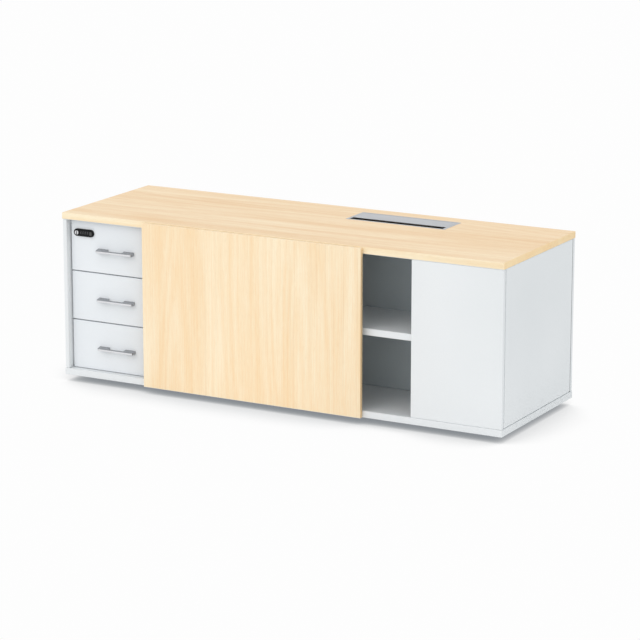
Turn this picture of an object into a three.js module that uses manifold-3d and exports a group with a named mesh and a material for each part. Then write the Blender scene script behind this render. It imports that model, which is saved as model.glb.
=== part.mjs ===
// Office credenza with a hanging sliding door, three drawers, an open bay and a cable port in the top.
// Millimetres, +Z up. Pieces are placed from the left end of the top (X), its front edge (Y, to the back)
// and the floor (Z). The finished group is then centred over its own footprint.
import * as THREE from "three";
import { mergeVertices } from "three/addons/utils/BufferGeometryUtils.js";
import Module from "manifold-3d";

const wasm = await Module();
wasm.setup();

// Cabinet
const width = 1800;
const depth = 600;
const bodyHeight = 617;
const footHeight = 25;
const topThickness = 25;
const baseThickness = 25;
const shelfThickness = 25;
const boardThickness = 16;
const edging = 1.5;
const seat = 0.3;
const sideInset = 2;
const frontSetback = 2;
const revealWidth = 3;
const revealDepth = 5;
const rearRevealWidth = 10;
const rearRevealDepth = 1.2;
const drawerBayWidth = 341;
const centrePartitionX = 900;
const fixedPanelWidth = 352;
const openBayDepth = 302;

// Feet
const footRadius = 24;
const footWaistRadius = 17;
const footPadThickness = 6;
const footFlangeThickness = 5;
const footInset = 150;

// Sliding door, hung from a track in the top and guided by a pin in the base
const doorWidth = 900;
const doorThickness = 16;
const doorGap = 3;
const doorTopDrop = 3;
const doorBottomLift = 0.5;
const doorRestLap = 1;
const doorEndMargin = 12;
const trackWidth = 18;
const trackHeight = 12;
const trackWall = 1.5;
const trackSlot = 5;
const trackFront = 4;
const trackEndGap = 4;
const wheelRadius = 4;
const wheelWidth = 4.5;
const axleRadius = 1.5;
const axleClearance = 0.3;
const wheelSideGap = 0.4;
const hangerThickness = 2.5;
const hangerLength = 40;
const hangerDrop = 40;
const hangerHeadroom = 4;
const hangerFirst = 44;
const hangerPitch = 420;
const guideRadius = 4;
const guideDepth = 18;
const guideCollarRadius = 9;
const guideCollarThickness = 2;
const grooveDepth = 8;
const guideEndGap = 1;

// Drawers
const drawerCount = 3;
const drawerSetback = 25;
const drawerSideGap = 6;
const drawerGap = 4;
const drawerHeadGap = 4;
const topFrontRise = 8;
const drawerFootGap = 2;
const trayLength = 450;
const trayRimGap = 6;
const trayLift = 16;
const trayWall = 12;
const trayFloor = 8;
const runnerSpace = 12.7;
const runnerHeight = 45;
const runnerGauge = 1.25;
const runnerBend = 1;
const runnerPlay = 0.4;
const runnerLength = 450;
const runnerSetback = 4;
const handleLength = 156;
const handleFoot = 45;
const handleReach = 24;
const handleBarDepth = 10;
const handleFrontHeight = 7;
const handleRise = 6;
const handleCorner = 8;
const handleInnerCorner = 4;
const handleEdge = 1.5;
const handleFromSide = 201;
const handleDrop = 8;

// Combination lock on the top drawer
const lockLength = 86;
const lockHeight = 27;
const lockReach = 8;
const lockEdge = 1.5;
const lockFromSide = 63.5;
const lockFromTop = 44.5;
const lockBodyLength = 72;
const lockBodyHeight = 24;
const lockEndPadLength = 15;
const lockEndPadRise = 1;
const dialCount = 4;
const dialRadius = 10;
const dialPitch = 10;
const dialGap = 0.6;
const dialProud = 2;
const dialFaces = 10;
const dialNotchDepth = 0.7;
const dialAxleRadius = 2.5;
const dialOffset = 5;
const knobOffset = 28;
const knobRadius = 8;
const knobReach = 3;
const knobSlotWidth = 2.4;
const knobSlotDepth = 1.5;
const spindleRadius = 4;
const spindleNeckRadius = 3;
const camThickness = 3;
const camWidth = 9;
const camBite = 5;
const mortiseClearance = 1.5;

// Cable port
const portLeft = 975;
const portLength = 403;
const portFront = 397;
const portDepth = 138;
const portBorder = 8;
const portEndBorder = 12;
const portLip = 1.5;
const portCorner = 3;
const portWall = 2;
const portSkirt = 20;
const portFit = 0.5;
const slotDepth = 38;
const flapThickness = 3;
const flapBarrelRadius = 3;
const flapPinRadius = 1.5;
const flapGap = 0.5;
const flapLedge = 4;

// Levels and faces that several pieces share
const baseTop = footHeight + baseThickness;
const topSurface = footHeight + bodyHeight;
const topUnder = topSurface - topThickness;
const panelFoot = baseTop + seat;
const panelHead = topUnder - seat;
const leftInner = sideInset + boardThickness;
const rightInner = width - leftInner;
const partitionLeft = leftInner + drawerBayWidth;
const partitionRight = partitionLeft + boardThickness;
const fixedPanelLeft = width - sideInset - fixedPanelWidth;
const bayFront = frontSetback + boardThickness + seat;
const innerBackFront = bayFront + openBayDepth;
const backFront = depth - boardThickness;
const doorBack = -doorGap;
const doorFront = doorBack - doorThickness;
const doorLeft = partitionLeft - doorRestLap;
const guideHeight = footHeight + baseThickness / 2;
const roundSteps = 24;
const bendSteps = 3;

// A mesh material with the colour and surface of one finish.
const finishes = {
  wood: [0xf2d8b0, 0.45, 0],
  greyBoard: [0xe3e5e8, 0.5, 0],
  tray: [0xd9dbde, 0.55, 0],
  aluminium: [0xb8babe, 0.35, 0.9],
  nickel: [0xc4c4c6, 0.28, 1],
  zinc: [0xaeb2b6, 0.4, 1],
  blackPlastic: [0x17181a, 0.4, 0],
  dialPlastic: [0x26282b, 0.45, 0],
  nylon: [0xd6d6d2, 0.5, 0],
};

function finish(name) {
  const [color, roughness, metalness] = finishes[name];
  return new THREE.MeshStandardMaterial({ color, roughness, metalness });
}

function piece(name, geometry, finishName, parent, position = [0, 0, 0]) {
  const mesh = new THREE.Mesh(geometry, finish(finishName));
  mesh.name = name;
  mesh.position.set(...position);
  parent.add(mesh);
  return mesh;
}

// Joins and cuts of closed geometries
function solidFrom(geometry) {
  const bare = geometry.clone();
  bare.deleteAttribute("normal");
  bare.deleteAttribute("uv");
  const merged = mergeVertices(bare, 1e-4);
  const vertProperties = merged.attributes.position.array;
  const triVerts = new Uint32Array(merged.index.array);
  return new wasm.Manifold(new wasm.Mesh({ numProp: 3, vertProperties, triVerts }));
}

function geometryFrom(solid) {
  const { vertProperties, triVerts } = solid.getMesh();
  const geometry = new THREE.BufferGeometry();
  geometry.setAttribute("position", new THREE.BufferAttribute(vertProperties, 3));
  geometry.setIndex(new THREE.BufferAttribute(triVerts, 1));
  const flat = geometry.toNonIndexed();
  flat.computeVertexNormals();
  return flat;
}

function cut(blank, tools) {
  let rest = solidFrom(blank);
  for (const tool of tools) rest = rest.subtract(solidFrom(tool));
  return geometryFrom(rest);
}

function join(geometries) {
  const [first, ...others] = geometries.map(solidFrom);
  return geometryFrom(others.reduce((sum, next) => sum.add(next), first));
}

function common(one, other) {
  return geometryFrom(solidFrom(one).intersect(solidFrom(other)));
}

// A box from its low corner to its high corner.
function block([x0, y0, z0], [x1, y1, z1]) {
  const box = new THREE.BoxGeometry(x1 - x0, y1 - y0, z1 - z0);
  return box.translate((x0 + x1) / 2, (y0 + y1) / 2, (z0 + z1) / 2);
}

function rectangle(x0, y0, x1, y1, radius) {
  const outline = new THREE.Shape();
  outline.absarc(x1 - radius, y1 - radius, radius, 0, Math.PI / 2);
  outline.absarc(x0 + radius, y1 - radius, radius, Math.PI / 2, Math.PI);
  outline.absarc(x0 + radius, y0 + radius, radius, Math.PI, 1.5 * Math.PI);
  outline.absarc(x1 - radius, y0 + radius, radius, 1.5 * Math.PI, 2 * Math.PI);
  return outline;
}

// An outline in the XY plane raised along +Z, with its rims eased by a small bevel.
function raised(outline, height, rim = 0, curveSegments = 4) {
  const settings = { depth: height - 2 * rim, bevelEnabled: rim > 0, curveSegments };
  Object.assign(settings, { bevelThickness: rim, bevelSize: rim, bevelOffset: -rim, bevelSegments: 1 });
  return new THREE.ExtrudeGeometry(outline, settings).translate(0, 0, rim);
}

// An outline in the XZ plane carried back along +Y.
function carriedBack(outline, length, rim = 0, curveSegments = 4) {
  return raised(outline, length, rim, curveSegments).rotateX(Math.PI / 2).translate(0, length, 0);
}

// An outline in the YZ plane carried along +X.
function carriedAcross(outline, length, curveSegments = 4) {
  const yToX = new THREE.Matrix4().makeBasis(
    new THREE.Vector3(0, 1, 0),
    new THREE.Vector3(0, 0, 1),
    new THREE.Vector3(1, 0, 0),
  );
  return raised(outline, length, 0, curveSegments).applyMatrix4(yToX);
}

// A board whose edges are eased all round, from its low corner to its high corner.
function board([x0, y0, z0], [x1, y1, z1], rim = edging) {
  const outline = rectangle(x0, y0, x1, y1, rim);
  return raised(outline, z1 - z0, rim, 1).translate(0, 0, z0);
}

// A round rod along X or Y, centred on a point of its axis at its low end.
function rodAcross(radius, length, [x, y, z]) {
  const rod = new THREE.CylinderGeometry(radius, radius, length, roundSteps).rotateZ(Math.PI / 2);
  return rod.translate(x + length / 2, y, z);
}

function rodBack(radius, length, [x, y, z]) {
  const rod = new THREE.CylinderGeometry(radius, radius, length, roundSteps);
  return rod.translate(x, y + length / 2, z);
}

function roundHole(radius) {
  const spokes = Array.from({ length: roundSteps }, (_, i) => (2 * Math.PI * i) / roundSteps);
  return new THREE.Path(spokes.map((a) => new THREE.Vector2(radius * Math.cos(a), radius * Math.sin(a))));
}

// A body of revolution about Y from [radius, y] points in rising y.
function turned(points) {
  return new THREE.LatheGeometry(points.map(([r, y]) => new THREE.Vector2(r, y)), roundSteps);
}

// The outline of a sheet strip that follows the middle line through the points, with concentric bends.
function bentStrip(points, thickness, bend) {
  const corners = points.map(([x, y]) => new THREE.Vector2(x, y));
  const middleRadius = bend + thickness / 2;
  const sides = [[], []];
  corners.forEach((corner, i) => {
    const before = i > 0 ? corner.clone().sub(corners[i - 1]).normalize() : null;
    const after = i < corners.length - 1 ? corners[i + 1].clone().sub(corner).normalize() : null;
    const along = before ?? after;
    const left = new THREE.Vector2(-along.y, along.x);
    if (!before || !after) {
      sides[0].push(corner.clone().addScaledVector(left, thickness / 2));
      sides[1].push(corner.clone().addScaledVector(left, -thickness / 2));
      return;
    }
    const angle = Math.atan2(before.cross(after), before.dot(after));
    const turn = Math.sign(angle);
    const start = corner.clone().addScaledVector(before, -middleRadius * Math.tan(Math.abs(angle) / 2));
    const centre = start.addScaledVector(left, turn * middleRadius);
    for (let step = 0; step <= bendSteps; step += 1) {
      const spoke = left.clone().rotateAround(new THREE.Vector2(), (angle * step) / bendSteps);
      const inward = turn * middleRadius;
      sides[0].push(centre.clone().addScaledVector(spoke, thickness / 2 - inward));
      sides[1].push(centre.clone().addScaledVector(spoke, -thickness / 2 - inward));
    }
  });
  return new THREE.Shape([...sides[0], ...sides[1].reverse()]);
}

const credenza = new THREE.Group();
credenza.name = "credenza";
credenza.position.set(-width / 2, -(depth + doorFront) / 2, 0);

// Carcass boards. Narrow reveals part the side panels from the boards they meet on the outside.
function buildCarcass() {
  const sideBack = backFront - seat;
  const leftBoard = board([sideInset, frontSetback, panelFoot], [leftInner, sideBack, panelHead]);
  const rightBoard = board([rightInner, bayFront, panelFoot], [width - sideInset, sideBack, panelHead]);
  const reveal = (x, sunk, [y0, z0], [y1, z1]) => block([x - sunk, y0, z0], [x + sunk, y1, z1]);
  const reveals = (x) => [
    reveal(x, rearRevealDepth, [sideBack - rearRevealWidth, baseTop], [backFront, topUnder]),
    reveal(x, revealDepth, [0, baseTop], [backFront, panelFoot + revealWidth]),
  ];
  const rightFace = width - sideInset;
  const frontEnd = [bayFront + revealWidth, topUnder];
  const frontReveal = reveal(rightFace, revealDepth, [frontSetback, baseTop], frontEnd);
  const leftTools = [...reveals(sideInset), lockMortise()];
  piece("left_side_panel", cut(leftBoard, leftTools), "greyBoard", credenza);
  piece("right_side_panel", cut(rightBoard, [...reveals(rightFace), frontReveal]), "greyBoard", credenza);

  const boards = {
    back_panel: [[sideInset, backFront, panelFoot], [width - sideInset, depth, panelHead]],
    drawer_partition: [
      [partitionLeft, drawerSetback, panelFoot],
      [partitionRight, backFront - seat, panelHead],
    ],
    centre_partition: [
      [centrePartitionX - boardThickness / 2, bayFront, panelFoot],
      [centrePartitionX + boardThickness / 2, innerBackFront - seat, panelHead],
    ],
    inner_back_panel: [
      [partitionRight + seat, innerBackFront, panelFoot],
      [rightInner - seat, innerBackFront + boardThickness, panelHead],
    ],
    fixed_front_panel: [
      [fixedPanelLeft, frontSetback, panelFoot],
      [width - sideInset, frontSetback + boardThickness, panelHead],
    ],
  };
  for (const [name, [low, high]] of Object.entries(boards)) {
    piece(name, board(low, high), "greyBoard", credenza);
  }

  const shelfUnder = (baseTop + topUnder - shelfThickness) / 2;
  const shelfEnds = {
    left_shelf: [partitionRight + seat, centrePartitionX - boardThickness / 2 - seat],
    right_shelf: [centrePartitionX + boardThickness / 2 + seat, rightInner - seat],
  };
  for (const [name, [from, to]] of Object.entries(shelfEnds)) {
    const low = [from, bayFront, shelfUnder];
    const high = [to, innerBackFront - seat, shelfUnder + shelfThickness];
    piece(name, board(low, high), "greyBoard", credenza);
  }
}

// Top with the cable cut-out, the rebate for the port's lip and the track groove. Base with the guide's bore.
function buildTopAndBase() {
  const cutOut = rectangle(
    portLeft + portEndBorder - portWall - portFit,
    portFront + portBorder - portWall - portFit,
    portLeft + portLength - portEndBorder + portWall + portFit,
    portFront + portDepth - portBorder + portWall + portFit,
    portWall,
  );
  const cutOutTool = raised(cutOut, topThickness + 2 * seat).translate(0, 0, topUnder - seat);
  const rebate = rectangle(
    portLeft - portFit,
    portFront - portFit,
    portLeft + portLength + portFit,
    portFront + portDepth + portFit,
    portCorner + portFit,
  );
  const rebateTool = raised(rebate, portLip + seat).translate(0, 0, topSurface - portLip);
  const grooveTool = block(
    [leftInner + trackEndGap - seat, trackFront - seat, topUnder - seat],
    [fixedPanelLeft - trackEndGap + seat, trackFront + trackWidth + seat, topUnder + trackHeight + seat],
  );
  const topBoard = board([0, 0, topUnder], [width, depth, topSurface]);
  piece("top_panel", cut(topBoard, [cutOutTool, rebateTool, grooveTool]), "wood", credenza);

  const guideBore = rodBack(guideRadius + seat, guideDepth + 2 * seat, [width / 2, -seat, guideHeight]);
  const baseBoard = board([0, 0, footHeight], [width, depth, baseTop]);
  piece("base_panel", cut(baseBoard, [guideBore]), "greyBoard", credenza);
}

// Moulded glide feet: a pad, a waist and a flange under the base.
function buildFeet() {
  const flangeFoot = footHeight - seat - footFlangeThickness;
  const profile = [
    [0, 0],
    [footRadius - edging, 0],
    [footRadius, edging],
    [footRadius, footPadThickness],
    [footWaistRadius, footPadThickness + edging],
    [footWaistRadius, flangeFoot],
    [footRadius, flangeFoot],
    [footRadius, footHeight - seat],
    [0, footHeight - seat],
  ];
  const ends = { left: footInset, middle: width / 2, right: width - footInset };
  const rows = { front: footInset, rear: depth - footInset };
  for (const [row, y] of Object.entries(rows)) {
    for (const [end, x] of Object.entries(ends)) {
      const foot = piece(`foot_${row}_${end}`, turned(profile), "blackPlastic", credenza, [x, y, 0]);
      foot.rotation.x = Math.PI / 2;
    }
  }
}

// Sliding door: a board that hangs on two bent brackets, each with a pair of wheels in the track.
function buildDoor() {
  const door = new THREE.Group();
  door.position.set(doorLeft, 0, 0);
  credenza.add(door);

  const travelEnds = [doorEndMargin - doorLeft, width - doorEndMargin - doorWidth - doorLeft];
  const guideEnds = travelEnds.map((travel) => width / 2 - doorLeft - travel);
  const grooveHalf = guideRadius + seat;
  const groove = rectangle(
    guideEnds[1] - grooveHalf,
    guideHeight - grooveHalf,
    guideEnds[0] + grooveHalf,
    guideHeight + grooveHalf,
    grooveHalf,
  );
  const grooveTool = carriedBack(groove, grooveDepth + seat).translate(0, doorBack - grooveDepth, 0);
  const doorBoard = board(
    [0, doorFront, footHeight + doorBottomLift],
    [doorWidth, doorBack, topSurface - doorTopDrop],
  );
  piece("sliding_door", cut(doorBoard, [grooveTool]), "wood", door);

  const trackMiddle = trackFront + trackWidth / 2;
  const axleHeight = topUnder + trackWall + seat + wheelRadius;
  const plateMiddle = doorBack + seat + hangerThickness / 2;
  const legHeight = topUnder - hangerHeadroom;
  const bracket = bentStrip(
    [
      [plateMiddle, legHeight - hangerDrop],
      [plateMiddle, legHeight],
      [trackMiddle, legHeight],
      [trackMiddle, axleHeight + wheelRadius - seat],
    ],
    hangerThickness,
    hangerThickness / 2,
  );
  const halfGap = hangerThickness / 2 + wheelSideGap;
  const wheelProfile = [
    [0, -halfGap - wheelWidth],
    [wheelRadius - seat, -halfGap - wheelWidth],
    [wheelRadius, seat - halfGap - wheelWidth],
    [wheelRadius, -halfGap],
    [axleRadius, -halfGap],
    [axleRadius, halfGap],
    [wheelRadius, halfGap],
    [wheelRadius, halfGap + wheelWidth - seat],
    [wheelRadius - seat, halfGap + wheelWidth],
    [0, halfGap + wheelWidth],
  ];
  ["left", "right"].forEach((side, i) => {
    const start = hangerFirst + i * hangerPitch;
    const middle = start + hangerLength / 2;
    const bore = rodBack(
      axleRadius + axleClearance,
      hangerThickness + 2 * seat,
      [hangerLength / 2, trackMiddle - hangerThickness / 2 - seat, axleHeight],
    );
    const hanger = cut(carriedAcross(bracket, hangerLength), [bore]);
    piece(`door_hanger_${side}`, hanger, "zinc", door, [start, 0, 0]);
    piece(`wheelset_${side}`, turned(wheelProfile), "nylon", door, [middle, trackMiddle, axleHeight]);
  });
}

// Aluminium track let in flush with the underside of the top, and the guide pin in the base's front edge.
function buildTrackAndGuide() {
  const half = trackWidth / 2 - trackWall / 2;
  const section = bentStrip(
    [
      [trackSlot / 2, trackWall / 2],
      [half, trackWall / 2],
      [half, trackHeight - trackWall / 2],
      [-half, trackHeight - trackWall / 2],
      [-half, trackWall / 2],
      [-trackSlot / 2, trackWall / 2],
    ],
    trackWall,
    trackWall / 4,
  );
  const trackLeft = leftInner + trackEndGap;
  const trackLength = fixedPanelLeft - trackEndGap - trackLeft;
  const place = [trackLeft, trackFront + trackWidth / 2, topUnder];
  piece("top_track", carriedAcross(section, trackLength), "aluminium", credenza, place);

  const pinEnd = doorBack - grooveDepth + guideEndGap;
  const guide = turned([
    [0, pinEnd],
    [guideRadius - seat, pinEnd],
    [guideRadius, pinEnd + seat],
    [guideRadius, -seat - guideCollarThickness],
    [guideCollarRadius, -seat - guideCollarThickness],
    [guideCollarRadius, -seat],
    [guideRadius, -seat],
    [guideRadius, guideDepth],
    [0, guideDepth],
  ]);
  piece("centre_guide", guide, "blackPlastic", credenza, [width / 2, 0, guideHeight]);
}

// Drawers, numbered from the top. Each group's origin is at the left inner face and its front's lower edge.
// The top one's front is a little taller, to close the space under the top.
const drawerRoom = topUnder - drawerHeadGap - topFrontRise - baseTop - drawerFootGap;
const frontHeight = (drawerRoom - (drawerCount - 1) * drawerGap) / drawerCount;
const topFrontHeight = frontHeight + topFrontRise;
const frontBack = drawerSetback + boardThickness;
const trayFront = frontBack + seat;
const traySide = runnerSpace + 2 * seat;
const lockZ = topFrontHeight - lockFromTop;
const trayHeight = lockZ - lockHeight / 2 - trayRimGap - trayLift;
const runnerMiddle = trayLift + trayHeight / 2;

function runnerSection(member, side) {
  const gauge = runnerGauge;
  const step = gauge + runnerPlay;
  const half = runnerHeight / 2 - gauge / 2;
  const lips = { cabinet: runnerSpace - step, middle: runnerSpace - step, drawer: 2 * step };
  const webs = { cabinet: gauge / 2, middle: gauge / 2 + step, drawer: runnerSpace - gauge / 2 };
  const nested = { cabinet: half, middle: half - step, drawer: half - 2 * step };
  const web = side * webs[member];
  const lip = side * lips[member];
  const reach = nested[member];
  const middleLine = [[lip, -reach], [web, -reach], [web, reach], [lip, reach]];
  return bentStrip(middleLine, gauge, runnerBend);
}

function handleGeometry() {
  const half = handleLength / 2;
  const inner = half - handleFoot;
  const barBack = handleBarDepth - handleReach;
  const plan = new THREE.Shape();
  plan.moveTo(half, 0);
  plan.lineTo(inner, 0);
  const bend = inner - handleInnerCorner;
  const bendY = barBack + handleInnerCorner;
  plan.absarc(bend, bendY, handleInnerCorner, 0, -Math.PI / 2, true);
  plan.absarc(-bend, bendY, handleInnerCorner, -Math.PI / 2, -Math.PI, true);
  plan.lineTo(-inner, 0);
  plan.lineTo(-half, 0);
  plan.absarc(handleCorner - half, handleCorner - handleReach, handleCorner, Math.PI, 1.5 * Math.PI);
  plan.absarc(half - handleCorner, handleCorner - handleReach, handleCorner, 1.5 * Math.PI, 2 * Math.PI);
  const tall = handleFrontHeight + 2 * handleRise;
  const blank = raised(plan, tall, 0, 6).translate(0, 0, -tall / 2);

  const low = -handleFrontHeight / 2;
  const high = handleFrontHeight / 2;
  const side = new THREE.Shape();
  side.absarc(handleEdge - handleReach, low + handleEdge, handleEdge, 1.5 * Math.PI, Math.PI, true);
  side.absarc(handleEdge - handleReach, high - handleEdge, handleEdge, Math.PI, Math.PI / 2, true);
  side.lineTo(0, high + handleRise);
  side.lineTo(0, low);
  const envelope = carriedAcross(side, handleLength, 3).translate(-half, 0, 0);
  return common(blank, envelope);
}

function buildDrawers() {
  for (let number = 1; number <= drawerCount; number += 1) {
    const drawer = new THREE.Group();
    const fromBottom = drawerCount - number;
    const lift = baseTop + drawerFootGap + fromBottom * (frontHeight + drawerGap);
    drawer.position.set(leftInner, 0, lift);
    credenza.add(drawer);
    const prefix = `drawer_${number}`;

    const frontBoard = board(
      [drawerSideGap, drawerSetback, 0],
      [drawerBayWidth - drawerSideGap, frontBack, number === 1 ? topFrontHeight : frontHeight],
    );
    const front = number === 1 ? cut(frontBoard, [lockCutOut()]) : frontBoard;
    piece(`${prefix}_front`, front, "greyBoard", drawer);

    const trayLow = [traySide, trayFront, trayLift];
    const trayHigh = [drawerBayWidth - traySide, trayFront + trayLength, trayLift + trayHeight];
    const hollow = block(
      [trayLow[0] + trayWall, trayLow[1] + trayWall, trayLow[2] + trayFloor],
      [trayHigh[0] - trayWall, trayHigh[1] - trayWall, trayHigh[2] + seat],
    );
    piece(`${prefix}_tray`, cut(board(trayLow, trayHigh), [hollow]), "tray", drawer);

    const handlePlace = [handleFromSide, drawerSetback - seat, frontHeight / 2 - handleDrop];
    piece(`${prefix}_handle`, handleGeometry(), "nickel", drawer, handlePlace);

    const runnerEnds = { left: [seat, 1], right: [drawerBayWidth - seat, -1] };
    for (const [end, [x, side]] of Object.entries(runnerEnds)) {
      for (const member of ["cabinet", "middle", "drawer"]) {
        const channel = carriedBack(runnerSection(member, side), runnerLength);
        const place = [x, frontBack + runnerSetback, runnerMiddle];
        piece(`${prefix}_${member}_runner_${end}`, channel, "zinc", drawer, place);
      }
    }
    if (number === 1) buildLock(drawer);
  }
}

// Combination lock. Its own origin is the middle of the pill-shaped housing on the drawer front's face.
const lockX = lockFromSide;
const lockAcross = leftInner + lockX;
const lockUp = topUnder - drawerHeadGap - lockFromTop;
const bodyDepth = boardThickness - seat;
const dialSet = dialCount * dialPitch;
const camReach = lockX - knobOffset + camBite;
const camFront = frontBack + seat;

function lockCutOut() {
  const half = [lockBodyLength / 2 + seat, lockBodyHeight / 2 + seat];
  return block(
    [lockX - half[0], drawerSetback - seat, lockZ - half[1]],
    [lockX + half[0], frontBack + seat, lockZ + half[1]],
  );
}

// The slot in the side panel that takes the cam, tall enough for the arc of the cam's tip.
function lockMortise() {
  const tip = Math.hypot(camReach, camWidth / 2);
  const rise = Math.sqrt(tip * tip - (camReach - camBite) ** 2);
  const tongueDepth = camBite + mortiseClearance;
  return block(
    [leftInner - tongueDepth, camFront - mortiseClearance, lockUp - camWidth / 2 - mortiseClearance],
    [leftInner + seat, camFront + camThickness + mortiseClearance, lockUp + rise + mortiseClearance],
  );
}

function pill(length, height) {
  return rectangle(-length / 2, -height / 2, length / 2, height / 2, height / 2);
}

function dialGeometry() {
  const outline = new THREE.Shape();
  const pitch = (2 * Math.PI) / dialFaces;
  for (let face = 0; face < dialFaces; face += 1) {
    const middle = face * pitch;
    outline.absarc(0, 0, dialRadius, middle - pitch * 0.36, middle + pitch * 0.36);
    const notch = middle + pitch / 2;
    const notchRadius = dialRadius - dialNotchDepth;
    outline.lineTo(notchRadius * Math.cos(notch), notchRadius * Math.sin(notch));
  }
  outline.holes.push(roundHole(dialAxleRadius + seat));
  return carriedAcross(outline, dialPitch - dialGap, 1);
}

function buildLock(drawer) {
  const lock = new THREE.Group();
  lock.position.set(lockX, drawerSetback, lockZ);
  drawer.add(lock);

  const dialAxis = dialRadius - lockReach - dialProud;
  const dialLeft = dialOffset - dialSet / 2;
  const pocketRadius = dialRadius + seat;
  const face = carriedBack(pill(lockLength, lockHeight), lockReach - seat, lockEdge, 10);
  const body = block(
    [-lockBodyLength / 2, -lockEdge, -lockBodyHeight / 2],
    [lockBodyLength / 2, bodyDepth, lockBodyHeight / 2],
  );
  const pad = carriedBack(pill(lockLength - 2 * lockEdge, lockHeight - 4 * lockEdge), lockReach, 0, 10);
  const padEnd = block(
    [lockLength / 2 - lockEdge - lockEndPadLength, -lockReach - lockEndPadRise, -lockHeight / 2],
    [lockLength / 2, 0, lockHeight / 2],
  );
  const endPad = common(pad.translate(0, -lockReach - lockEndPadRise, 0), padEnd);
  const shell = join([face.translate(0, -lockReach, 0), body, endPad]);
  const pocket = rodAcross(pocketRadius, dialSet + dialGap, [dialLeft - dialGap, dialAxis, 0]);
  const spindleBore = rodBack(
    spindleRadius + seat,
    lockReach + bodyDepth + 2 * seat,
    [-knobOffset, -lockReach - seat, 0],
  );
  const axle = rodAcross(dialAxleRadius, dialSet + 4 * dialGap, [dialLeft - 2 * dialGap, dialAxis, 0]);
  const housing = join([cut(shell, [pocket, spindleBore]), axle]);
  piece("lock_housing", housing, "blackPlastic", lock);

  for (let number = 1; number <= dialCount; number += 1) {
    const x = dialLeft + (number - 1) * dialPitch + dialGap / 2;
    piece(`lock_dial_${number}`, dialGeometry(), "dialPlastic", lock, [x, dialAxis, 0]);
  }

  const camBack = boardThickness + seat + camThickness;
  const knob = turned([
    [0, -lockReach - knobReach],
    [knobRadius - edging, -lockReach - knobReach],
    [knobRadius, edging - lockReach - knobReach],
    [knobRadius, -lockReach - seat],
    [spindleRadius, -lockReach - seat],
    [spindleRadius, boardThickness],
    [spindleNeckRadius, boardThickness],
    [spindleNeckRadius, camBack + edging],
    [0, camBack + edging],
  ]);
  const slot = block(
    [-knobSlotWidth / 2, -lockReach - knobReach - seat, -knobRadius],
    [knobSlotWidth / 2, -lockReach - knobReach + knobSlotDepth, knobRadius],
  );
  piece("lock_knob", cut(knob, [slot]), "nickel", lock, [-knobOffset, 0, 0]);

  const camOutline = new THREE.Shape();
  camOutline.absarc(0, 0, camWidth / 2 + edging, Math.PI, 2 * Math.PI);
  camOutline.lineTo(camWidth / 2, camReach);
  camOutline.lineTo(-camWidth / 2, camReach);
  camOutline.holes.push(roundHole(spindleNeckRadius + seat));
  const cam = carriedBack(camOutline, camThickness, 0, 10);
  piece("lock_cam", cam, "zinc", lock, [-knobOffset, boardThickness + seat, 0]);
}

// Cable port: a lipped aluminium frame let into the top, and a flap on two stub pins behind the open slot.
function buildCablePort() {
  const port = new THREE.Group();
  port.position.set(portLeft, portFront, topSurface - portLip + seat);
  credenza.add(port);

  const inner = [portEndBorder, portBorder, portLength - portEndBorder, portDepth - portBorder];
  const lip = raised(rectangle(0, 0, portLength, portDepth, portCorner), portLip);
  const tube = rectangle(
    inner[0] - portWall,
    inner[1] - portWall,
    inner[2] + portWall,
    inner[3] + portWall,
    portWall,
  );
  const skirt = raised(tube, portSkirt + portLip / 2).translate(0, 0, -portSkirt);
  const well = block([inner[0], inner[1], -portSkirt - seat], [inner[2], inner[3], portLip + seat]);
  const flapUnder = portLip - flapThickness;
  const slotBack = inner[1] + slotDepth;
  const hingeY = inner[3] - flapGap - flapBarrelRadius;
  const hingeZ = portLip - flapBarrelRadius;
  const ledges = [inner[0] - portWall / 2, inner[2] - flapLedge].map((x) =>
    block(
      [x, slotBack, flapUnder - seat - portWall],
      [x + flapLedge + portWall / 2, hingeY - 2 * flapBarrelRadius, flapUnder - seat],
    ),
  );
  const pinHole = rodAcross(
    flapPinRadius + seat,
    inner[2] - inner[0] + 4 * portWall,
    [inner[0] - 2 * portWall, hingeY, hingeZ],
  );
  const ring = cut(join([lip, skirt]), [well, pinHole]);
  piece("cable_port_frame", join([ring, ...ledges]), "aluminium", port);

  const side = new THREE.Shape();
  side.absarc(hingeY, hingeZ, flapBarrelRadius, -Math.PI / 2, Math.PI / 2);
  side.absarc(slotBack + edging, portLip - edging, edging, Math.PI / 2, Math.PI);
  side.lineTo(slotBack, flapUnder);
  side.lineTo(hingeY - flapBarrelRadius, flapUnder);
  const flapLength = inner[2] - inner[0] - 2 * flapGap;
  const plate = carriedAcross(side, flapLength, 8).translate(inner[0] + flapGap, 0, 0);
  const pinLength = flapGap + portWall - seat;
  const pins = [inner[0] + flapGap - pinLength, inner[2] - flapGap - edging].map((x) =>
    rodAcross(flapPinRadius, pinLength + edging, [x, hingeY, hingeZ]),
  );
  piece("cable_port_flap", join([plate, ...pins]), "aluminium", port);
}

buildCarcass();
buildTopAndBase();
buildFeet();
buildDoor();
buildTrackAndGuide();
buildDrawers();
buildCablePort();

export default credenza;
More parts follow.
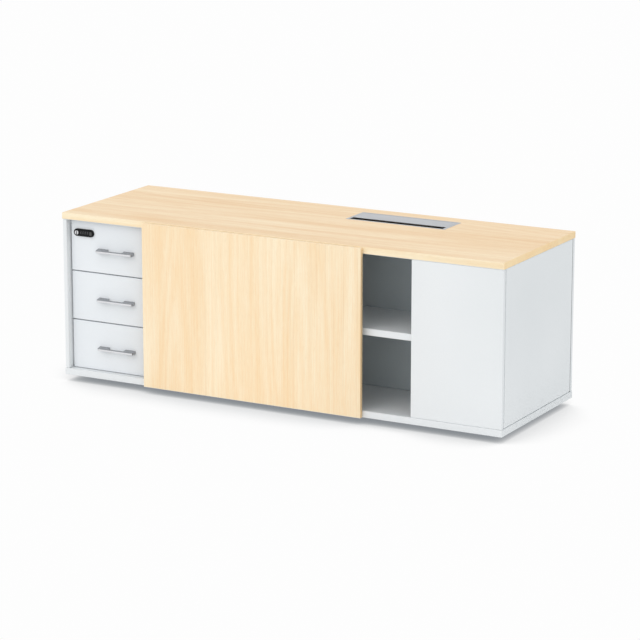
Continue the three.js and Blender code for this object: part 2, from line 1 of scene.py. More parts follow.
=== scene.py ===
import bpy
import numpy as np
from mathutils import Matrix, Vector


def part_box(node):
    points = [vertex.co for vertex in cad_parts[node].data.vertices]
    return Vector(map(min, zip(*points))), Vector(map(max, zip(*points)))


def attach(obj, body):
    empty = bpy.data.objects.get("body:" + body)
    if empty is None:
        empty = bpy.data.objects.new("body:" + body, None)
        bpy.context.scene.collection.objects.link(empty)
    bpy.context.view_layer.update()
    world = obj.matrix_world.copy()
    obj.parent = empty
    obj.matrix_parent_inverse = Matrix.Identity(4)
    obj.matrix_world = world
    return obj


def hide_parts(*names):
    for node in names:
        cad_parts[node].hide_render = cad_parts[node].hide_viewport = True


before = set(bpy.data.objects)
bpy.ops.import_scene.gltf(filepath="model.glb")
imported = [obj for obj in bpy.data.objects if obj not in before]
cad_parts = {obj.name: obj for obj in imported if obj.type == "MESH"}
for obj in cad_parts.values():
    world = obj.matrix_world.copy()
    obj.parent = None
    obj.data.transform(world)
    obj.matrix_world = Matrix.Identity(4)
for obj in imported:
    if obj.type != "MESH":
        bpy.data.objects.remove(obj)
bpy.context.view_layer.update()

# Glide feet. Six black moulded discs stand under the base, set back from its edges so that they hardly show.
# Each has a flat pad, a fluted waist and a flange that is screwed up against the board.
foot_pad = 0.006
foot_flange = 0.005
foot_waist = 0.017
foot_flutes = 14
flute_depth = 0.0012
foot_edge = 0.001
smooth_below = np.radians(38)


def srgb(red, green, blue):
    """Linear colour of a tint that a screen shows in steps from 0 to 255."""
    tint = np.array([red, green, blue]) / 255
    linear = np.where(tint > 0.04045, ((tint + 0.055) / 1.055) ** 2.4, tint / 12.92)
    return (*linear.tolist(), 1.0)


class Reading:
    """A value that changes over a surface. Arithmetic on it adds Math nodes to its material."""

    def __init__(self, finish, socket):
        self.finish = finish
        self.socket = socket

    def math(self, operation, first, second):
        return self.finish.node("ShaderNodeMath", {"operation": operation}, {0: first, 1: second})

    def __add__(self, other):
        return self.math("ADD", self, other)

    def __radd__(self, other):
        return self.math("ADD", other, self)

    def __sub__(self, other):
        return self.math("SUBTRACT", self, other)

    def __rsub__(self, other):
        return self.math("SUBTRACT", other, self)

    def __mul__(self, other):
        return self.math("MULTIPLY", self, other)

    def __rmul__(self, other):
        return self.math("MULTIPLY", other, self)

    def __gt__(self, other):
        return self.math("GREATER_THAN", self, other)

    def __abs__(self):
        return self.math("ABSOLUTE", self, 0.0)


class Finish:
    """The nodes of a material or of the world, with the constant values of its shader's sockets."""

    def __init__(self, owner, shader, constants):
        owner.use_nodes = True
        self.owner = owner
        self.tree = owner.node_tree
        self.shader = self.tree.nodes[shader]
        self.connect(self.shader, constants)

    def connect(self, node, sockets):
        for key, value in sockets.items():
            if isinstance(value, Reading):
                self.tree.links.new(value.socket, node.inputs[key])
            else:
                node.inputs[key].default_value = value

    def node(self, kind, settings, sockets, output=0):
        """Adds a node, sets its settings and then its sockets' values or links, and reads one output."""
        made = self.tree.nodes.new(kind)
        for name, value in settings.items():
            setattr(made, name, value)
        self.connect(made, sockets)
        return Reading(self, made.outputs[output])

    def surface(self, sockets):
        self.connect(self.shader, sockets)

    def noise(self, size, detail=2.0, place=None, output="Fac"):
        """Soft noise from 0 to 1 whose blotches are about size metres long in X, Y and Z."""
        place = place or self.node("ShaderNodeTexCoord", {}, {}, "Object")
        scale = [1 / length for length in size]
        drawn_out = self.node("ShaderNodeMapping", {}, {"Vector": place, "Scale": scale})
        sockets = {"Vector": drawn_out, "Scale": 1.0, "Detail": detail}
        return self.node("ShaderNodeTexNoise", {}, sockets, output)

    def spread(self, reading, low, high):
        """Stretches a reading so that low becomes 0 and high becomes 1, and holds it there."""
        return self.node("ShaderNodeMapRange", {}, {"Value": reading, "From Min": low, "From Max": high})

    def tint(self, mask, first, second):
        """Colour that goes from first to second as the mask goes from 0 to 1."""
        return self.node("ShaderNodeMix", {"data_type": "RGBA"}, {0: mask, 6: first, 7: second}, 2)

    def relief(self, height, depth):
        """Normal of a surface whose height goes from 0 to depth metres as the reading goes from 0 to 1."""
        return self.node("ShaderNodeBump", {}, {"Height": height, "Distance": depth})

    def facing(self, axis):
        """From -1 to 1, how far the surface faces along the axis, backwards or forwards."""
        normal = self.node("ShaderNodeNewGeometry", {}, {}, "True Normal")
        return self.node("ShaderNodeSeparateXYZ", {}, {"Vector": normal}, axis)


def new_finish(name, constants):
    return Finish(bpy.data.materials.new(name), "Principled BSDF", constants)


def moulded(name, dark, light, roughness, shine):
    """Moulded plastic: a fine spark-eroded grain that mottles its colour, gloss and height."""
    finish = new_finish(name, {"Specular IOR Level": shine})
    grain = finish.noise((0.0008,) * 3, 3.0)
    flow = finish.noise((0.012,) * 3, 1.0)
    colour = finish.tint(0.6 * grain + 0.4 * flow, dark, light)
    gloss = (roughness - 0.08) + 0.1 * grain + 0.06 * flow
    finish.surface({"Base Color": colour, "Roughness": gloss, "Normal": finish.relief(grain, 0.00005)})
    return finish


black_plastic = moulded("black_plastic", srgb(8, 8, 9), srgb(22, 23, 24), 0.42, 0.16)


def eased(corners, radius, closed=True, steps=6):
    """Outline with rounded corners: each is replaced by the parabola that leaves one side and joins the next
    at the given distance from the corner. An open outline keeps its two end points."""
    corners = np.asarray(corners, float)
    before = np.roll(corners, 1, axis=0) - corners
    after = np.roll(corners, -1, axis=0) - corners
    reach = np.broadcast_to(radius, len(corners))[:, None]
    start = corners + reach * before / np.linalg.norm(before, axis=1, keepdims=True)
    end = corners + reach * after / np.linalg.norm(after, axis=1, keepdims=True)
    share = np.linspace(0, 1, steps)[:, None]
    ends = (1 - share) ** 2 * start[:, None] + share**2 * end[:, None]
    arcs = ends + 2 * share * (1 - share) * corners[:, None]
    if closed:
        return arcs.reshape(-1, 2)
    return np.concatenate([corners[:1], arcs[1:-1].reshape(-1, 2), corners[-1:]])


def turned(radius, height, centre, along, steps):
    """Rings of a turned shape: each radius and height of a profile is swept round the axis through centre.
    Both may also change with the angle, as tables of profile points by steps."""
    along = np.array(along, float)
    side = np.roll(along, 1)
    angle = np.linspace(0, 2 * np.pi, steps, endpoint=False)
    spokes = np.outer(np.cos(angle), side) + np.outer(np.sin(angle), np.cross(along, side))
    radius = np.reshape(radius, (len(radius), -1, 1))
    height = np.reshape(height, (len(height), -1, 1))
    return np.array(centre) + radius * spokes + height * along


def skinned(*stacks, bored=False):
    """Corners and faces of skins over stacks of closed rings: corner j of a ring joins corner j + 1 and the
    next ring. A flat face closes the first and the last ring, or a wall joins them if the shape is bored."""
    faces = []
    first = 0
    for rings in stacks:
        rows, steps = rings.shape[:2]
        index = first + np.arange(rows * steps).reshape(rows, steps)
        ends = [] if bored else [index[0, ::-1].tolist(), index[-1].tolist()]
        if bored:
            index = np.concatenate([index, index[:1]])
        ahead = np.roll(index, -1, axis=1)
        sides = np.stack([index[:-1], ahead[:-1], ahead[1:], index[1:]], axis=-1)
        faces += sides.reshape(-1, 4).tolist() + ends
        first += rows * steps
    return np.concatenate([rings.reshape(-1, 3) for rings in stacks]), faces


def new_piece(name, shape, body, slot, finish, *replaced):
    """Object with a shape's corners and faces, smooth except over its sharp edges, that rides on a body and
    may stand in for solids."""
    corners, faces = shape
    mesh = bpy.data.meshes.new(name)
    mesh.from_pydata(corners.tolist(), [], faces)
    mesh.polygons.foreach_set("use_smooth", [len(face) == 4 for face in faces])
    mesh.set_sharp_from_angle(angle=smooth_below)
    mesh.materials.append(finish.owner)
    piece = bpy.data.objects.new(name, mesh)
    bpy.context.scene.collection.objects.link(piece)
    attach(piece, body)
    if replaced:
        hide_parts(*replaced)


def glide_foot(node):
    """Turned disc whose waist is fluted: its radius there falls and rises again with the angle."""
    low, high = map(np.array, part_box(node))
    rim = (high[0] - low[0]) / 2
    tall = high[2] - low[2]
    centre = [(low[0] + high[0]) / 2, (low[1] + high[1]) / 2, low[2]]
    corners = [
        [rim / 3, 0],
        [rim, 0],
        [rim, foot_pad],
        [foot_waist, foot_pad + flute_depth],
        [foot_waist, tall - foot_flange],
        [rim, tall - foot_flange],
        [rim, tall],
        [rim / 3, tall],
    ]
    radius, height = eased(corners, foot_edge, closed=False).T
    steps = 6 * foot_flutes
    angle = np.linspace(0, 2 * np.pi, steps, endpoint=False)
    between_discs = (height > foot_pad) * (height < tall - foot_flange)
    in_waist = between_discs * np.clip((rim - radius) / (rim - foot_waist), 0, 1)
    flutes = np.outer(in_waist, flute_depth * (1 + np.cos(foot_flutes * angle)) / 2)
    rings = turned(radius[:, None] - flutes, height, centre, (0, 0, 1), steps)
    new_piece("glide_" + node, skinned(rings), "carcass", "black_plastic", black_plastic, node)


for row in ("front", "rear"):
    for end in ("left", "middle", "right"):
        glide_foot(f"foot_{row}_{end}")

# Grey boards. The base, sides, back, partitions, shelves and fixed front are chipboard faced with a finely
# textured pale grey melamine, and edged with a plastic strip of the same grey. Inside the cable compartment
# the two boards' faces are painted a dark grey, a painted shade that makes its slot look black.
along_x, along_y, along_z = range(3)
squarely = 0.6
slot_shade_charcoal = srgb(44, 46, 48)
grey_boards = [
    "base_panel",
    "left_side_panel",
    "right_side_panel",
    "drawer_partition",
    "centre_partition",
    "fixed_front_panel",
    "left_shelf",
    "right_shelf",
]


def faced_board(name, dark, light, slot_shade_side=0):
    """Melamine: a fine pressed texture under a satin film, with a slow drift of tone over the board. The side
    that faces back (1) or forwards (-1) may be painted a dark grey, as painted shade."""
    finish = new_finish(name, {"Specular IOR Level": 0.35})
    texture = finish.noise((0.0011,) * 3, 3.0)
    drift = finish.noise((0.35,) * 3, 1.0)
    colour = finish.tint(finish.spread(0.5 * texture + 0.5 * drift, 0.3, 0.7), dark, light)
    if slot_shade_side:
        # Painted shade: the chosen side is tinted dark grey so that the cable compartment and its slot look
        # black.
        colour = finish.tint(slot_shade_side * finish.facing(along_y) > squarely, colour, slot_shade_charcoal)
    finish.surface({"Base Color": colour, "Roughness": 0.42 + 0.16 * texture})
    finish.surface({"Normal": finish.relief(texture, 0.00006)})
    return finish


grey_tones = (srgb(229, 232, 234), srgb(237, 239, 241))
melamine = faced_board("grey_melamine", *grey_tones)


def smoothing():
    """Modifier nodes that merge a solid's loose corners and shade it smooth, except over its sharp edges."""
    group = bpy.data.node_groups.new("smooth_faces", "GeometryNodeTree")
    group.interface.new_socket("Geometry", in_out="INPUT", socket_type="NodeSocketGeometry")
    group.interface.new_socket("Geometry", in_out="OUTPUT", socket_type="NodeSocketGeometry")
    kinds = ["NodeGroupInput", "GeometryNodeMergeByDistance", "GeometryNodeSetShadeSmooth"]
    kinds += ["GeometryNodeSetShadeSmooth", "NodeGroupOutput"]
    chain = [group.nodes.new(kind) for kind in kinds]
    for one, other in zip(chain, chain[1:]):
        group.links.new(one.outputs[0], other.inputs[0])
    merge, smooth, crisp = chain[1:4]
    merge.inputs["Distance"].default_value = 0.00001
    smooth.domain = "FACE"
    crisp.domain = "EDGE"
    crisp.inputs["Shade Smooth"].default_value = False
    angle = group.nodes.new("GeometryNodeInputMeshEdgeAngle")
    sharper = group.nodes.new("FunctionNodeCompare")
    sharper.inputs["B"].default_value = smooth_below
    group.links.new(angle.outputs[0], sharper.inputs["A"])
    group.links.new(sharper.outputs[0], crisp.inputs["Selection"])
    return group


smooth_faces = smoothing()


def dress(node, finish):
    """Gives a solid its finish and smooth shading."""
    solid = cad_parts[node]
    solid.material_slots[0].material = finish.owner
    solid.modifiers.new("smooth_faces", "NODES").node_group = smooth_faces


for node in grey_boards:
    dress(node, melamine)
# Painted shade: the back's front face and the inner back's rear face, inside the cable compartment, are dark
# grey so that the slot looks black.
dress("back_panel", faced_board("grey_back", *grey_tones, -1))
# Painted shade: the inner back's grey is darker than the other boards' so that the deep open bay looks dark.
dress("inner_back_panel", faced_board("bay_shade_inner_back", srgb(198, 207, 212), srgb(206, 214, 218), 1))

# Top. A chipboard board faced with pale maple laminate, its grain along the length, and edged with a strip of
# the same maple in a lighter tone.
vein_tone = srgb(206, 166, 118)
backing_tone = srgb(226, 229, 232)


def maple(name, grain, face_tones, edge_tones):
    """Maple laminate: soft noises drawn out along the grain and bent by a slow wave give broad bands,
    streaks, fine lines and short dashes, and the level lines of one more give the growth rings. Faces along
    an axis that has its own tones are edging, and the underside is a grey backing sheet."""
    finish = new_finish(name, {"Specular IOR Level": 0.25})

    def along_grain(across, along):
        size = np.full(3, across)
        size[grain] = along
        return size.tolist()

    place = finish.node("ShaderNodeTexCoord", {}, {}, "Object")
    wave = finish.noise(along_grain(0.12, 0.4), 1.0, place, "Color")
    bend = {0: wave, 1: (0.008,) * 3, 2: place}
    bent = finish.node("ShaderNodeVectorMath", {"operation": "MULTIPLY_ADD"}, bend)
    bands = finish.noise(along_grain(0.1, 1.6), 2.0, bent)
    streaks = finish.noise(along_grain(0.011, 0.8), 3.0, bent)
    lines = finish.noise(along_grain(0.003, 0.6), 2.0, bent)
    dashes = finish.noise(along_grain(0.004, 0.04), 1.0, bent)
    growth = finish.noise(along_grain(0.16, 2.2), 1.0, bent)
    pores = finish.noise(along_grain(0.0009, 0.03), 1.0)
    rings = finish.node("ShaderNodeMath", {"operation": "SINE"}, {0: 70.0 * growth})
    slow = 0.44 * bands + 0.07 * (0.5 + 0.5 * rings)
    figure = finish.spread(slow + 0.08 * streaks + 0.25 * lines + 0.16 * dashes, 0.38, 0.62)
    clusters = finish.spread(finish.noise(along_grain(0.22, 1.2), 1.0, place), 0.35, 0.65)
    veins = finish.spread(finish.noise(along_grain(0.005, 0.7), 1.0, bent), 0.54, 0.7) * clusters
    flecks = finish.spread(pores, 0.6, 0.75)
    colour = finish.tint(figure, *face_tones)
    for axis, tones in edge_tones.items():
        colour = finish.tint(abs(finish.facing(axis)) > squarely, colour, finish.tint(figure, *tones))
    flecked = finish.tint(0.2 * flecks + 0.14 * veins, colour, vein_tone)
    backed = finish.tint(finish.facing(along_z) * -1.0 > squarely, flecked, backing_tone)
    finish.surface({"Base Color": backed, "Roughness": 0.5 + 0.1 * lines + 0.08 * flecks})
    finish.surface({"Normal": finish.relief(lines - 0.5 * flecks, 0.00005)})
    return finish


top_tones = (srgb(242, 206, 162), srgb(255, 233, 200))
top_edging = {
    along_x: (srgb(252, 218, 168), srgb(255, 230, 186)),
    along_y: (srgb(249, 224, 184), srgb(255, 240, 210)),
}
dress("top_panel", maple("maple_top", along_x, top_tones, top_edging))

# Cable port. A satin anodised aluminium frame is let into the top, brushed along its length, and a flap on
# two stub pins leaves an open slot along the front for cables.


def brushed(name, dark, light, roughness, stroke):
    """Brushed metal: long fine scratches along the stroke's axis change its tone, gloss and height."""
    finish = new_finish(name, {"Metallic": 1.0})
    size = np.full(3, 0.0005)
    size[stroke] = 0.09
    scratches = finish.noise(size.tolist(), 3.0)
    cloud = finish.noise((0.06,) * 3, 1.0)
    tone = finish.spread(0.7 * scratches + 0.3 * cloud, 0.3, 0.7)
    finish.surface({"Base Color": finish.tint(tone, dark, light), "Roughness": roughness + 0.12 * scratches})
    finish.surface({"Normal": finish.relief(scratches, 0.00003)})
    return finish


aluminium = brushed("satin_aluminium", srgb(172, 175, 180), srgb(192, 195, 199), 0.3, along_x)
dress("cable_port_frame", aluminium)
dress("cable_port_flap", aluminium)

# Door track and guide. An extruded aluminium channel lies flush in the underside of the top, and a black pin
# with a collar is pressed into the front edge of the base.
dress("top_track", aluminium)

guide_low, guide_high = map(np.array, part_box("centre_guide"))
guide_middle = (guide_low + guide_high) / 2
guide_collar = (guide_high[0] - guide_low[0]) / 2
guide_pin = 0.004
guide_edge = 0.0004
collar_thickness = 0.002
seat = 0.0003
collar_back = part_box("base_panel")[0][1] - seat
guide_corners = [
    [guide_pin / 3, guide_low[1]],
    [guide_pin, guide_low[1]],
    [guide_pin, collar_back - collar_thickness],
    [guide_collar, collar_back - collar_thickness],
    [guide_collar, collar_back],
    [guide_pin, collar_back],
    [guide_pin, guide_high[1]],
    [guide_pin / 3, guide_high[1]],
]
guide_radius, guide_depth = eased(guide_corners, guide_edge, closed=False).T
guide_axis = [guide_middle[0], 0, guide_middle[2]]
guide_rings = turned(guide_radius, guide_depth, guide_axis, (0, 1, 0), 48)
new_piece("guide_pin", skinned(guide_rings), "carcass", "black_plastic", black_plastic, "centre_guide")

# Sliding door. A maple-faced board with upright grain hangs in front of the cabinet on two bent zinc-plated
# steel brackets, each held by two screws and carried by a nylon wheel pair that rolls in the track.
door_tones = (srgb(250, 220, 178), srgb(255, 238, 208))
door_edging = {along_x: (srgb(240, 203, 153), srgb(248, 219, 176))}
dress("sliding_door", maple("maple_door", along_z, door_tones, door_edging))

zinc = brushed("zinc_steel", srgb(160, 165, 170), srgb(190, 194, 198), 0.34, along_y)
nylon = moulded("nylon", srgb(206, 205, 198), srgb(222, 221, 214), 0.5, 0.45)
wheel_flank = 0.0006
wheel_edge = 0.0003
wheel_gap = 0.00165
axle = 0.0015
hanger_plate = 0.0028
hanger_screw = 0.0035
hanger_screw_inset = 0.01
hanger_screw_rise = 0.012
cross_half_width = 0.16
cross_reach = 0.66
cross_depth = 0.3
cross_slope = 0.05
cross_end_slope = 0.06


def screw_head(centre, along, radius):
    """Rings of a pan-head screw: a low dome whose top is sunk in a cross. The sink is deepest on two lines
    through the axis and ends at two thirds of the radius. All its sizes are shares of the radius."""
    steps = 32
    angle = np.linspace(0, 2 * np.pi, steps, endpoint=False)
    share = np.array([1, 1, 0.97, 0.85, 0.7, 0.62, 0.5, 0.38, 0.26, 0.14, 0.05])
    dome = 0.5 * np.sqrt(1 - 0.75 * share**2)
    dome[0] = 0
    off_line = np.outer(share, np.minimum(abs(np.cos(angle)), abs(np.sin(angle))))
    in_width = np.clip((cross_half_width - off_line) / cross_slope, 0, 1)
    in_reach = np.clip((cross_reach - share) / cross_end_slope, 0, 1)
    height = dome[:, None] - cross_depth * in_width * in_reach[:, None]
    return turned(radius * share, radius * height, centre, along, steps)


plate_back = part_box("sliding_door")[1][1] + hanger_plate
for side in ("left", "right"):
    hanger = f"door_hanger_{side}"
    dress(hanger, zinc)
    low, high = map(np.array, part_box(hanger))
    screw_height = low[2] + hanger_screw_rise
    screws_across = (low[0] + hanger_screw_inset, high[0] - hanger_screw_inset)
    heads = [screw_head([x, plate_back, screw_height], (0, 1, 0), hanger_screw) for x in screws_across]
    new_piece(f"hanger_screws_{side}", skinned(*heads), "door", "zinc_steel", zinc)

    low, high = map(np.array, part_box(f"wheelset_{side}"))
    rim = (high[0] - low[0]) / 2
    middle = (low + high) / 2
    corners = [
        [rim / 4, low[1] + wheel_flank],
        [rim / 2, low[1] + wheel_flank],
        [rim * 0.6, low[1]],
        [rim, low[1]],
        [rim, middle[1] - wheel_gap],
        [axle, middle[1] - wheel_gap],
        [axle, middle[1] + wheel_gap],
        [rim, middle[1] + wheel_gap],
        [rim, high[1]],
        [rim * 0.6, high[1]],
        [rim / 2, high[1] - wheel_flank],
        [rim / 4, high[1] - wheel_flank],
    ]
    radius, depth = eased(corners, wheel_edge, closed=False).T
    rings = turned(radius, depth, [middle[0], 0, middle[2]], (0, 1, 0), 48)
    new_piece(f"door_wheels_{side}", skinned(rings), f"wheels_{side}", "nylon", nylon, f"wheelset_{side}")

# Back screws. The back panel is held to the sides and to the drawer partition by three rows of zinc-plated
# screws, driven from behind into the edges of those boards.
back_screw = 0.004
back_screw_margin = 0.06
back_low, back_high = map(np.array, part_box("back_panel"))
screwed_boards = ("left_side_panel", "drawer_partition", "right_side_panel")
screw_rows = [np.mean(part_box(board), axis=0)[0] for board in screwed_boards]
screw_heights = np.linspace(back_low[2] + back_screw_margin, back_high[2] - back_screw_margin, 4)
screw_places = [[x, back_high[1], z] for x in screw_rows for z in screw_heights]
back_heads = [screw_head(place, (0, 1, 0), back_screw) for place in screw_places]
new_piece("back_screws", skinned(*back_heads), "carcass", "zinc_steel", zinc)

# Drawers. Each has a grey front, a wrapped tray behind it and a pair of zinc-plated telescopic runners whose
# three members slide in one another, and is pulled by a cast bow handle in satin nickel with broad flat feet.
# Painted light: the drawer fronts' grey is lighter and cooler than the other boards' to offset the shade
# under the top and the warm light from the door.
lifted_drawer_grey = faced_board("lifted_drawer_grey", srgb(231, 235, 239), srgb(239, 242, 246))
tray_board = faced_board("tray_board", srgb(205, 208, 212), srgb(214, 217, 220))


def cast_nickel():
    """Satin nickel: fine cross-brushing, with painted shade on the upper and lower faces and a painted
    highlight on the front.
    """
    finish = new_finish("satin_nickel", {"Metallic": 1.0})
    scratches = finish.noise((0.02, 0.0004, 0.0004), 3.0)
    # Painted light: faces that point up or down take a darker tone as painted shade, and the front takes a
    # lighter one as a painted highlight.
    front = abs(finish.facing(along_y)) > squarely
    painted_shade_tone = finish.tint(scratches, srgb(154, 155, 158), srgb(176, 177, 180))
    painted_highlight_tone = finish.tint(scratches, srgb(214, 215, 218), srgb(232, 233, 235))
    finish.surface({"Base Color": finish.tint(front, painted_shade_tone, painted_highlight_tone), "Roughness": 0.26 + 0.14 * scratches})
    finish.surface({"Normal": finish.relief(scratches, 0.00002)})
    return finish


nickel = cast_nickel()
handle_foot = 0.045
handle_bar = 0.01
handle_rise = 0.006
handle_rim = 0.0012
handle_corners = [0.0022, 0.0022, 0.005, 0.005, 0.0022, 0.0022, 0.009, 0.009]


def pressed(outline, low, high, rim, steps=5):
    """Rings of a plate: its outline is carried from low to high, which may change along the outline, and both
    rims are rounded by drawing the outline in along a quarter circle."""
    ahead = np.roll(outline, -1, axis=0) - np.roll(outline, 1, axis=0)
    inward = np.stack([-ahead[:, 1], ahead[:, 0]], axis=1) / np.linalg.norm(ahead, axis=1, keepdims=True)
    quarter = np.linspace(0, np.pi / 2, steps)
    draw_in = rim * (1 - np.sin(np.concatenate([quarter, quarter[::-1]])))
    lift = rim * (1 - np.cos(quarter))
    flat = outline + draw_in[:, None, None] * inward
    lower = np.broadcast_to(low + lift[:, None], (steps, len(outline)))
    upper = np.broadcast_to(high, len(outline)) - lift[::-1, None]
    return np.concatenate([flat, np.concatenate([lower, upper])[:, :, None]], axis=2)


def bow_handle(number):
    """Plate with a finger gap cut from its back. The top slopes up from the bar to the feet."""
    low, high = map(np.array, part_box(f"drawer_{number}_handle"))
    half = (high[0] - low[0]) / 2
    reach = high[1] - low[1]
    gap = half - handle_foot
    bar_back = handle_bar - reach
    corners = [[half, 0], [gap, 0], [gap, bar_back], [-gap, bar_back]]
    corners += [[-gap, 0], [-half, 0], [-half, -reach], [half, -reach]]
    outline = eased(corners, handle_corners, steps=10)
    front_height = high[2] - low[2] - handle_rise
    top = front_height + handle_rise * (1 + outline[:, 1] / reach)
    rings = pressed(outline, 0.0, top, handle_rim) + [(low[0] + high[0]) / 2, high[1], low[2]]
    body = f"drawer_{number}"
    new_piece(f"bow_handle_{number}", skinned(rings), body, "satin_nickel", nickel, f"drawer_{number}_handle")


for number in (1, 2, 3):
    dress(f"drawer_{number}_front", lifted_drawer_grey)
    dress(f"drawer_{number}_tray", tray_board)
    for member in ("cabinet", "middle", "drawer"):
        for side in ("left", "right"):
            dress(f"drawer_{number}_{member}_runner_{side}", zinc)
    bow_handle(number)

# Combination lock. A black pill-shaped housing is let into the top drawer's front over a thin black seal. It
# has four number dials on one axle, a grey rubber button on a raised pad at the right, and a nickel knob
# whose spindle turns the steel cam behind the front.
dress("lock_housing", black_plastic)
dress("lock_cam", zinc)

grey_rubber = moulded("grey_rubber", srgb(66, 67, 67), srgb(84, 85, 84), 0.6, 0.2)
button_half = np.array([0.00525, 0.00675])
button_inset = 0.0055
button_corner = 0.003
button_rise = 0.0005
button_rim = 0.0003
sunk = 0.0001
four_corners = np.array([[1, 1], [-1, 1], [-1, -1], [1, -1]])


def facing_front(rings, place):
    """Rings of a plate that was worked out lying flat, tipped up to face forwards with its back at place."""
    return place + rings[..., [0, 2, 1]] * [1, -1, 1]


housing_low, housing_high = map(np.array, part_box("lock_housing"))
housing_middle = (housing_low + housing_high) / 2
housing_half = (housing_high - housing_low) / 2
drawer_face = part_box("drawer_1_front")[0][1]
seal_lip = 0.0004
seal_width = 0.003
seal_thickness = 0.0015


def pill_ring(radius, depth):
    """Ring round the housing's middle line: a circle whose halves are drawn apart to that line's two ends."""
    steps = 96
    angle = (np.arange(steps) + 0.5) * 2 * np.pi / steps
    line_end = np.copysign(housing_half[0] - housing_half[2], np.cos(angle))
    ring = np.stack([line_end + radius * np.cos(angle), 0 * angle, radius * np.sin(angle)], axis=1)
    return ring + [housing_middle[0], depth, housing_middle[2]]


seal_radius = housing_half[2] + seal_lip
seal_back = drawer_face - sunk
seal_profile = [[seal_radius, seal_back], [seal_radius, seal_back - seal_thickness]]
seal_profile += [[seal_radius - seal_width, depth] for _, depth in seal_profile[::-1]]
seal = skinned(np.stack([pill_ring(*row) for row in seal_profile]), bored=True)
new_piece("lock_seal", seal, "drawer_1", "black_plastic", black_plastic)

button_x = housing_high[0] - button_inset - button_half[0]
button_place = [button_x, housing_low[1], housing_middle[2]]
button_outline = eased(button_half * four_corners, button_corner)
button_rings = pressed(button_outline, -sunk, button_rise, button_rim)
button = skinned(facing_front(button_rings, button_place))
new_piece("lock_button", button, "drawer_1", "black_plastic", grey_rubber)

dial_plastic = moulded("dial_plastic", srgb(20, 21, 22), srgb(36, 37, 39), 0.4, 0.2)
dial_marks = moulded("dial_marks", srgb(98, 99, 100), srgb(114, 115, 116), 0.5, 0.2)
figures = 10
dial_notch = 0.0007
notch_half_width = 0.14
dial_rim = 0.0005
dial_bore = 0.0028
figure_height = 0.006
figure_share = 0.7
figure_relief = 0.00006


def figure_mesh(mark):
    """Corner points and triangles of one printed figure, flat in X and Y and centred on the origin."""
    curve = bpy.data.curves.new("figure", "FONT")
    curve.body = mark
    curve.size = figure_height / figure_share
    curve.align_x = "CENTER"
    curve.align_y = "CENTER"
    curve.extrude = figure_relief
    curve.resolution_u = 3
    text = bpy.data.objects.new("figure", curve)
    mesh = bpy.data.meshes.new_from_object(text)
    points = np.empty(len(mesh.vertices) * 3)
    mesh.vertices.foreach_get("co", points)
    faces = [list(face.vertices) for face in mesh.polygons]
    bpy.data.objects.remove(text)
    bpy.data.curves.remove(curve)
    bpy.data.meshes.remove(mesh)
    points = points.reshape(-1, 3)
    points[:, :2] -= (points[:, :2].max(axis=0) + points[:, :2].min(axis=0)) / 2
    return points, faces


figure_shapes = [figure_mesh(str(figure)) for figure in range(figures)]


def number_dial(number):
    """Bored wheel with a shallow notch between each two figures: its radius drops on either side of the
    notch's angle. The figures are wrapped round it, with their height taken as an angle."""
    low, high = map(np.array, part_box(f"lock_dial_{number}"))
    middle = (low + high) / 2
    radius = (high[1] - low[1]) / 2
    steps = figures * 16
    angle = np.linspace(0, figures, steps, endpoint=False)
    off_notch = abs(angle % 1 - 0.5)
    notch = dial_notch * np.clip(1 - off_notch / notch_half_width, 0, 1)
    rows = np.array([dial_bore, radius - dial_rim, radius, radius, radius - dial_rim, dial_bore])
    across = np.array([low[0], low[0], low[0] + dial_rim, high[0] - dial_rim, high[0], high[0]])
    outer = (rows > dial_bore)[:, None] * notch
    rings = turned(rows[:, None] - outer, across, [0, middle[1], middle[2]], (1, 0, 0), steps)
    body = f"dial_{number}"
    wheel = skinned(rings, bored=True)
    new_piece(f"number_dial_{number}", wheel, body, "dial_plastic", dial_plastic, f"lock_dial_{number}")

    corners, faces, first = [], [], 0
    for figure, (points, sides) in enumerate(figure_shapes):
        lift = radius + points[:, 2]
        turn = points[:, 1] / radius - 2 * np.pi * figure / figures
        wrapped = [middle[0] + points[:, 0], middle[1] - lift * np.cos(turn), middle[2] + lift * np.sin(turn)]
        corners.append(np.stack(wrapped, axis=1))
        faces += [[first + corner for corner in side] for side in sides]
        first += len(points)
    new_piece(f"dial_figures_{number}", (np.concatenate(corners), faces), body, "nylon", dial_marks)


for number in (1, 2, 3, 4):
    number_dial(number)

knob_flutes = 36
flute_relief = 0.00025
knob_reach = 0.003
knob_slot = 0.0024
slot_depth = 0.0015
spindle = 0.004
spindle_neck = 0.003
knob_rim = 0.0005
liner_thickness = 0.0003
liner_corner = 0.0003
liner_rim = 0.0001


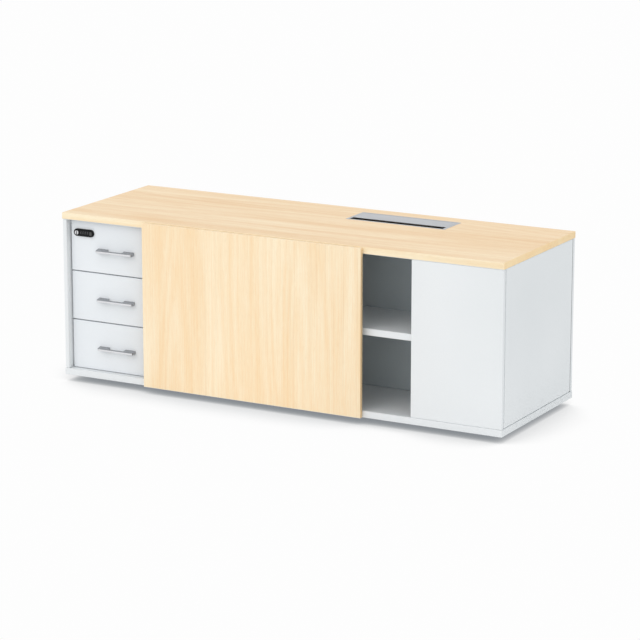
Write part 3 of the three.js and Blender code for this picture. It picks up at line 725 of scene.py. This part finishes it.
def lock_knob():
    """Turned spindle and fluted grip up to the floor of the slot, and on it two half-moon plates with the
    slot between them, lined with a black strip. The grip's radius falls and rises with the angle."""
    low, high = map(np.array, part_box("lock_knob"))
    middle = (low + high) / 2
    radius = (high[0] - low[0]) / 2
    front, back = low[1], high[1]
    grip_back = front + knob_reach - seat
    neck_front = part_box("lock_cam")[0][1] - seat
    floor = front + slot_depth
    radii = [spindle_neck / 2, spindle_neck, spindle_neck, spindle, spindle, radius, radius, radius / 3]
    depths = [back, back, neck_front, neck_front, grip_back, grip_back, floor, floor]
    steps = 8 * knob_flutes
    angle = np.linspace(0, 2 * np.pi, steps, endpoint=False)
    flutes = flute_relief * (1 + np.cos(knob_flutes * angle)) / 2
    fluted = np.array(radii)[:, None] - np.outer(np.array(radii) == radius, flutes)
    stacks = [turned(fluted, -np.array(depths), [middle[0], 0, middle[2]], (0, -1, 0), steps)]
    on_floor = [middle[0], floor, middle[2]]
    reach = np.arccos(knob_slot / 2 / radius)
    arc = np.linspace(-reach, reach, steps // 2)
    rim = radius - flute_relief * (1 + np.cos(knob_flutes * arc)) / 2
    for turn in (0, np.pi):
        moon = np.stack([rim * np.cos(arc + turn), rim * np.sin(arc + turn)], axis=1)
        stacks.append(facing_front(pressed(moon, -sunk, slot_depth, knob_rim, 4), on_floor))
    new_piece("knob_grip", skinned(*stacks), "lock", "satin_nickel", nickel, "lock_knob")

    strip = eased(four_corners * [0.45 * knob_slot, 0.8 * radius], liner_corner)
    liner = skinned(facing_front(pressed(strip, 0.0, liner_thickness, liner_rim, 3), on_floor))
    new_piece("knob_slot_liner", liner, "lock", "black_plastic", black_plastic)


lock_knob()

# Studio. A white floor that runs far behind the cabinet and darkens softly where the cabinet hides the light,
# white all round, an even dome of soft light and one broad lamp in front and to the left.
floor_reach = 60.0
floor_mesh = bpy.data.meshes.new("studio_floor")
floor_corners = [[-floor_reach, -floor_reach, 0], [floor_reach, -floor_reach, 0]]
floor_corners += [[floor_reach, floor_reach, 0], [-floor_reach, floor_reach, 0]]
floor_mesh.from_pydata(floor_corners, [], [[0, 1, 2, 3]])
studio_floor = bpy.data.objects.new("studio_floor", floor_mesh)
bpy.context.scene.collection.objects.link(studio_floor)


def by_ray(finish, output, unseen, seen):
    """Mixes two shaders: one for the light that falls on things, and one for a ray from the camera, or one
    that metal or glass sends on from it."""
    kinds = ("Is Camera Ray", "Is Glossy Ray", "Is Transmission Ray")
    direct, glossy, through = [finish.node("ShaderNodeLightPath", {}, {}, kind) for kind in kinds]
    mixed = finish.node("ShaderNodeMixShader", {}, {0: direct + glossy + through, 1: unseen, 2: seen})
    finish.connect(finish.tree.nodes[output], {"Surface": mixed})


white = (1, 1, 1, 1)
shade_tone = srgb(128, 133, 138)
shade_reach = 0.36
open_enough = 0.72
floor_sockets = {"Base Color": (0, 0, 0, 1), "Specular IOR Level": 0.0, "Emission Strength": 0.985}
floor_finish = new_finish("studio_floor", floor_sockets)
open_sky = floor_finish.node("ShaderNodeAmbientOcclusion", {}, {"Distance": shade_reach}, "AO")
floor_shade = floor_finish.spread(open_sky, 0.0, open_enough)
floor_finish.surface({"Emission Color": floor_finish.tint(floor_shade, shade_tone, white)})
lit_floor = floor_finish.node("ShaderNodeBsdfDiffuse", {}, {"Color": (0.95, 0.95, 0.95, 1)})
by_ray(floor_finish, "Material Output", lit_floor, Reading(floor_finish, floor_finish.shader.outputs[0]))
floor_mesh.materials.append(floor_finish.owner)

dome_tint = (0.974, 0.996, 1.0, 1.0)
dome_light = 0.897
studio = Finish(bpy.data.worlds.new("studio"), "Background", {"Color": white, "Strength": 1.0})
dome = studio.node("ShaderNodeBackground", {}, {"Color": dome_tint, "Strength": dome_light})
by_ray(studio, "World Output", dome, Reading(studio, studio.shader.outputs[0]))
bpy.context.scene.world = studio.owner

lamp = bpy.data.lights.new("broad_lamp", "SUN")
lamp.energy = 0.49
lamp.color = (1.0, 0.95, 0.92)
lamp.angle = np.radians(50)
lamp_object = bpy.data.objects.new("broad_lamp", lamp)
lamp_object.rotation_euler = (np.radians(60), 0, np.radians(-22))
bpy.context.scene.collection.objects.link(lamp_object)

camera = bpy.data.cameras.new("camera")
camera.sensor_width = 36.0
camera.lens = 159.64
camera.clip_end = 200.0
camera_object = bpy.data.objects.new("camera", camera)
camera_object.location = (4.8646, -8.8445, 2.7359)
camera_object.rotation_euler = (np.radians(90 - 13.697), 0, np.radians(28.676))
bpy.context.scene.collection.objects.link(camera_object)
bpy.context.scene.camera = camera_object
bpy.context.scene.view_settings.view_transform = "Standard"
